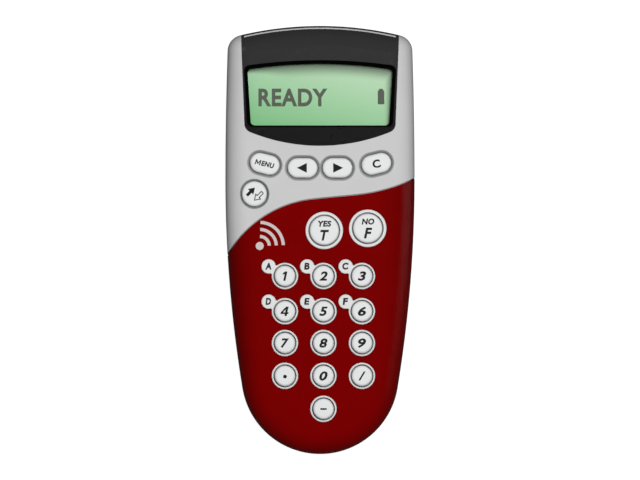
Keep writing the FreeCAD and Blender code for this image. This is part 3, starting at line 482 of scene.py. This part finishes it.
def drawn(outlines, slant=0.0):
    """A print drawn from closed outlines in millimetres, leaning to the right by the slant."""
    made = bmesh.new()
    for outline in outlines:
        flat = [((x + slant * y) * MM, y * MM) for x, y in outline]
        floor = [made.verts.new((x, y, 0.0)) for x, y in flat]
        roof = [made.verts.new((x, y, PRINT)) for x, y in flat]
        made.faces.new(list(reversed(floor)))
        made.faces.new(roof)
        for index in range(len(flat)):
            after = (index + 1) % len(flat)
            made.faces.new((floor[index], floor[after], roof[after], roof[index]))
    bmesh.ops.recalc_face_normals(made, faces=made.faces)
    bmesh.ops.triangulate(made, faces=[face for face in made.faces if len(face.verts) > 4])
    mesh = bpy.data.meshes.new("outlines")
    made.to_mesh(mesh)
    made.free()
    return mesh


def lettering(text, height, width, slant=0.0, weight=BOLD, spacing=1.0):
    """A text's mesh, centred on the origin and scaled to its printed size in millimetres."""
    curve = bpy.data.curves.new("lettering", "FONT")
    curve.body = text
    curve.shear = slant
    curve.offset = weight
    curve.space_character = spacing
    curve.extrude = 0.5
    curve.resolution_u = 6
    holder = bpy.data.objects.new("lettering", curve)
    bpy.context.scene.collection.objects.link(holder)
    bpy.context.view_layer.update()
    mesh = bpy.data.meshes.new_from_object(holder)
    bpy.data.objects.remove(holder)
    xs = [vertex.co.x for vertex in mesh.vertices]
    ys = [vertex.co.y for vertex in mesh.vertices]
    wide = width * MM / (max(xs) - min(xs))
    tall = height * MM / (max(ys) - min(ys))
    base = Vector(((max(xs) + min(xs)) / 2, (max(ys) + min(ys)) / 2, -curve.extrude))
    mesh.transform(Matrix.Diagonal((wide, tall, PRINT, 1.0)) @ Matrix.Translation(-base))
    return mesh


def printed(name, mesh, place, material, body, turn=0):
    """Lay a flat mesh at a place, turned about the vertical."""
    mesh.transform(Matrix.Translation(place) @ Matrix.Rotation(math.radians(turn), 4, "Z"))
    mesh_piece(name, mesh, material, body)


def print_on_key(name, mesh, key, dx=0.0, dy=0.0, turn=0):
    """Print a mesh on top of a keycap, offset from its centre in millimetres."""
    place = middle(key) + Vector((dx * MM, dy * MM, 0.0))
    printed(name, mesh, place, INK, key, turn)


def polar(radius, angle):
    """A flat point at a radius and an angle."""
    return (radius * math.cos(angle), radius * math.sin(angle))


def disc(radius, sides):
    """A round outline."""
    return [polar(radius, TAU * index / sides) for index in range(sides)]


def arc_band(radius, width, start, end, steps):
    """An open ring sector with square ends, as one outline."""
    angles = [start + (end - start) * step / steps for step in range(steps + 1)]
    outer = [polar(radius + width / 2, angle) for angle in angles]
    inner = [polar(radius - width / 2, angle) for angle in reversed(angles)]
    return outer + inner


def arrow(length, shaft, head, head_length):
    """An arrow that points along +X, centred on the origin."""
    tail = -length / 2
    tip = length / 2
    neck = tip - head_length
    return [
        (tail, -shaft / 2), (neck, -shaft / 2), (neck, -head / 2), (tip, 0.0),
        (neck, head / 2), (neck, shaft / 2), (tail, shaft / 2),
    ]


def band(outline, width):
    """The strip of a given width just inside an anticlockwise outline, as one quad per side."""
    count = len(outline)
    points = [Vector(point) for point in outline]
    inner = []
    for index in range(count):
        before = (points[index] - points[index - 1]).normalized()
        after = (points[(index + 1) % count] - points[index]).normalized()
        inward_before = Vector((-before.y, before.x))
        inward_after = Vector((-after.y, after.x))
        bisector = (inward_before + inward_after).normalized()
        inner.append(points[index] + bisector * (width / bisector.dot(inward_after)))
    quads = []
    for index in range(count):
        after = (index + 1) % count
        quads.append([points[index][:], points[after][:], inner[after][:], inner[index][:]])
    return quads


# glyphs drawn as outlines; the font's own 4 and M break when they are made bold
ONE = [[(-0.2, -1.55), (0.5, -1.55), (0.5, 1.55), (-0.1, 1.55), (-0.85, 1.05), (-0.85, 0.4), (-0.2, 0.72)]]
FOUR = [
    [(0.2, -0.35), (0.9, -0.35), (0.9, 1.55), (0.2, 1.55)],
    [(-1.3, -0.9), (1.35, -0.9), (1.35, -0.35), (-1.3, -0.35)],
    [(0.2, -1.55), (0.9, -1.55), (0.9, -0.9), (0.2, -0.9)],
    [(-1.3, -0.35), (-0.55, -0.35), (0.2, 0.67), (0.2, 1.55), (0.1, 1.55)],
]
LETTER_M = [[
    (-0.9, -0.87), (-0.55, -0.87), (-0.55, 0.25), (-0.12, -0.55), (0.12, -0.55), (0.55, 0.25), (0.55, -0.87),
    (0.9, -0.87), (0.9, 0.87), (0.57, 0.87), (0.0, -0.1), (-0.57, 0.87), (-0.9, 0.87),
]]


def print_digits():
    """The ten digits, each on its key."""
    own_outlines = {"1": ONE, "4": FOUR}
    for digit in DIGITS:
        if digit in own_outlines:
            mesh = drawn(own_outlines[digit], SLANT)
        else:
            mesh = lettering(digit, height=3.1, width=2.75, slant=SLANT)
        print_on_key(f"legend_{digit}", mesh, f"key_{digit}")


def print_signs():
    """The point, the slash and the minus."""
    slash = [(-1.2, -1.5), (-0.6, -1.5), (1.2, 1.5), (0.6, 1.5)]
    dash = [(-1.05, -0.27), (1.05, -0.27), (1.05, 0.27), (-1.05, 0.27)]
    print_on_key("legend_point", drawn([disc(0.62, sides=24)]), "key_point", 0.05, -0.2)
    print_on_key("legend_slash", drawn([slash]), "key_slash")
    print_on_key("legend_minus", drawn([dash]), "key_minus")


def print_answers():
    """A word with its letter below it on each of the two answer keys."""
    for key, word, word_width, letter, letter_width in (
            ("key_true", "YES", 4.5, "T", 2.9), ("key_false", "NO", 4.2, "F", 2.75)):
        upper = lettering(word, 2.0, word_width, slant=0.15, weight=BOLDER, spacing=1.06)
        lower = lettering(letter, 3.55, letter_width, slant=SLANT)
        print_on_key(f"{key}_word", upper, key, 0.1, 2.25)
        print_on_key(f"{key}_letter", lower, key, 0.1, -1.6)


def print_menu_row():
    """The menu key's word in two parts, the clear key's letter and the two arrowheads."""
    menu_slant = 0.1
    menu_start = drawn(LETTER_M, menu_slant)
    menu_rest = lettering("ENU", 1.75, 4.3, slant=menu_slant, weight=BOLDER, spacing=1.1)
    for part, (mesh, shift) in enumerate(((menu_start, -2.3), (menu_rest, 1.05)), start=1):
        mesh.transform(Matrix.Translation((shift * MM, 0.0, 0.0)))
        print_on_key(f"legend_menu_{part}", mesh, "key_menu", turn=-14)
    print_on_key("legend_clear", lettering("C", 2.75, 2.6, weight=0.03), "key_clear", turn=12)
    for key, side in (("key_left", -1), ("key_right", 1)):
        reach = side * 1.65
        triangle = [(-reach, -1.6), (reach, 0.0), (-reach, 1.6)]
        print_on_key(f"{key}_arrow", drawn([triangle]), key, side * 0.25)


def print_send_key():
    """A filled arrow going up and an open one coming back."""
    sent = drawn([arrow(3.8, 0.95, 2.6, 2.0)])
    received = drawn(band(arrow(4.1, 1.2, 2.8, 2.1), 0.27))
    print_on_key("send_arrow", sent, "key_send", -1.15, 0.75, turn=45)
    print_on_key("receive_arrow", received, "key_send", 1.35, -0.85, turn=225)


def print_tab_letters():
    """The letters A to F on the tabs beside the first six digits."""
    tab_offset = Vector((-5.55 * MM, 3.3 * MM, 0.0))
    for digit, letter in zip(DIGITS[1:7], "ABCDEF"):
        width = 2.05 if letter in "AC" else 1.8
        place = middle(f"key_{digit}") + tab_offset
        place.z = COLLAR_Z
        mesh = lettering(letter, 2.3, width, slant=0.1, weight=0.046)
        printed(f"tab_letter_{letter}", mesh, place, TAB_INK, "housing")


def print_display():
    """The word and the battery sign shown on the display."""
    glass = high("lcd_glass").z
    ready = lettering("READY", 6.0, 23.2, spacing=1.1)
    battery = drawn([[
        (-1.1, -2.6), (1.1, -2.6), (1.1, 1.9), (0.75, 2.1), (0.6, 2.6),
        (-0.6, 2.6), (-0.75, 2.1), (-1.1, 1.9),
    ]])
    for name, mesh, x, y in (
            ("display_word", ready, -9.1, 47.9), ("display_battery", battery, 20.5, 48.2)):
        printed(name, mesh, Vector((x * MM, y * MM, glass)), LCD_INK, "housing")


def print_emblem():
    """A plain radio-wave sign: a dot with three arcs opening to the upper right."""
    first_radius = 3.2
    spacing = 2.35
    thickness = 1.05
    start = math.radians(2)
    end = math.radians(88)
    outlines = [disc(1.35, sides=32)]
    for ring in range(3):
        outlines.append(arc_band(first_radius + spacing * ring, thickness, start, end, steps=20))
    place = Vector((-20.2 * MM, -2.0 * MM, FACE_Z))
    printed("wave_emblem", drawn(outlines), place, EMBLEM_INK, "housing")


print_digits()
print_signs()
print_answers()
print_menu_row()
print_send_key()
print_tab_letters()
print_display()
print_emblem()

# ------------------------------------------------------------------ silicone mat


def half_of(mesh, level, keep_upper):
    """The part of a mesh above or below a height, closed across the cut."""
    cut = bmesh.new()
    cut.from_mesh(mesh)
    bmesh.ops.remove_doubles(cut, verts=cut.verts, dist=1e-7)
    result = bmesh.ops.bisect_plane(
        cut, geom=cut.verts[:] + cut.edges[:] + cut.faces[:], plane_co=(0, 0, level), plane_no=(0, 0, 1),
        clear_inner=keep_upper, clear_outer=not keep_upper)
    rim = [item for item in result["geom_cut"] if isinstance(item, bmesh.types.BMEdge)]
    bmesh.ops.triangle_fill(cut, use_beauty=True, edges=rim)
    bmesh.ops.recalc_face_normals(cut, faces=cut.faces)
    return cut


def islands(made):
    """The separate shells of a mesh, as lists of vertices."""
    seen = set()
    groups = []
    for first in made.verts:
        if first in seen:
            continue
        seen.add(first)
        group = [first]
        # the loop also walks the vertices that it appends
        for vertex in group:
            for edge in vertex.link_edges:
                other = edge.other_vert(vertex)
                if other not in seen:
                    seen.add(other)
                    group.append(other)
        groups.append(group)
    return groups


def shell_mesh(name, made, group):
    """One shell of a mesh, copied out by its vertices."""
    index = {vertex: number for number, vertex in enumerate(group)}
    faces = [[index[vertex] for vertex in face.verts] for face in made.faces if face.verts[0] in index]
    mesh = bpy.data.meshes.new(name)
    mesh.from_pydata([vertex.co[:] for vertex in group], [], faces)
    return mesh


def build_mat_sheet(source, level):
    """The mat's sheet, which stays with the housing."""
    sheet = half_of(source, level, keep_upper=False)
    mesh = bpy.data.meshes.new("mat_sheet")
    sheet.to_mesh(mesh)
    sheet.free()
    piece = mesh_piece("mat_sheet", mesh, MATERIALS["silicone"], "housing")
    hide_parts("keypad_mat")


def build_mat_domes(source, level):
    """The mat's domes, each a piece of its own, named after the key above it."""
    domes = half_of(source, level, keep_upper=True)
    for group in islands(domes):
        centre = sum((vertex.co for vertex in group), Vector()) / len(group)
        key = min(KEYS, key=lambda name: (middle(name).xy - centre.xy).length)
        mesh = shell_mesh(f"dome_{key}", domes, group)
        shade_smooth(mesh)
        dome = mesh_piece(f"mat_dome_{key}", mesh, MATERIALS["silicone"], "housing")
        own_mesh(dome)
    domes.free()


def build_mat():
    """The mat, parted just above its sheet."""
    source = NODES["keypad_mat"].data
    level = low("keypad_mat").z + 1.22 * MM
    build_mat_sheet(source, level)
    build_mat_domes(source, level)


build_mat()

# ------------------------------------------------------------------ studio


def stage_floor():
    """A wide white floor that glows evenly and lights nothing."""
    bpy.ops.mesh.primitive_plane_add(size=30.0, location=(0, 0, 0))
    floor = bpy.context.object
    floor.name = "floor"
    material, tree, shader = new_material("floor_white")
    paper = uneven(tree, noise(tree, scale=3), 0.97, 1.0)
    tree.links.new(scaled_colour(tree, (0.15, 0.15, 0.15), paper), shader.inputs["Base Color"])
    shader.inputs["Roughness"].default_value = 0.9
    shader.inputs["Specular IOR Level"].default_value = 0.1
    feed(tree, shader.inputs["Emission Color"], (1.0, 1.0, 1.0))
    shader.inputs["Emission Strength"].default_value = 0.97
    floor.data.materials.append(material)
    floor.visible_diffuse = False
    floor.visible_glossy = False


def area_light(name, place, width, height, power, diffuse=True, glossy=True):
    """A rectangular softbox that faces the middle of the keypad."""
    lamp = bpy.data.lights.new(name, "AREA")
    lamp.shape = "RECTANGLE"
    lamp.size = width
    lamp.size_y = height
    lamp.energy = power
    holder = bpy.data.objects.new(name, lamp)
    bpy.context.scene.collection.objects.link(holder)
    towards = Vector((0.0, 0.0, FACE_Z)) - Vector(place)
    holder.location = place
    holder.rotation_euler = towards.to_track_quat("-Z", "Y").to_euler()
    holder.visible_diffuse = diffuse
    holder.visible_glossy = glossy


def lights():
    """One main softbox overhead, a weak one from the left, and a strip that only reflects."""
    area_light("overhead", (0.12, 0.10, 0.95), width=0.30, height=0.30, power=8.4, glossy=False)
    area_light("left_key", (-0.45, 0.50, 0.65), width=0.22, height=0.22, power=0.35)
    area_light("right_strip", (0.85, 0.0, 0.13), width=0.03, height=0.9, power=1.0, diffuse=False)


def backdrop(tree, node, grey, strength):
    """Set a background shader to a grey and a strength."""
    feed(tree, node.inputs["Color"], (grey, grey, grey))
    node.inputs["Strength"].default_value = strength
    return node


def studio_world():
    """Pale surroundings that add only a little light of their own."""
    world = bpy.data.worlds.new("studio")
    bpy.context.scene.world = world
    world.use_nodes = True
    tree = world.node_tree
    lighting = backdrop(tree, tree.nodes["Background"], grey=1.0, strength=0.06)
    shown = backdrop(tree, add(tree, "ShaderNodeBackground"), grey=0.9, strength=1.0)
    seen_directly = add(tree, "ShaderNodeLightPath").outputs["Is Camera Ray"]
    send_mixed_shader(tree, seen_directly, lighting, shown, "World Output")


def camera():
    """A long lens straight above the face, with the display end up."""
    view_width = 214.4 * MM
    data = bpy.data.cameras.new("camera")
    data.lens = 180
    data.sensor_width = 36
    data.clip_end = 50
    holder = bpy.data.objects.new("camera", data)
    bpy.context.scene.collection.objects.link(holder)
    holder.location = (0, 0, FACE_Z + view_width * data.lens / data.sensor_width)
    holder.rotation_euler = (0, 0, 0)
    bpy.context.scene.camera = holder


stage_floor()
studio_world()
lights()
camera()
scene = bpy.context.scene
scene.view_settings.view_transform = "Standard"
scene.view_settings.look = "None"
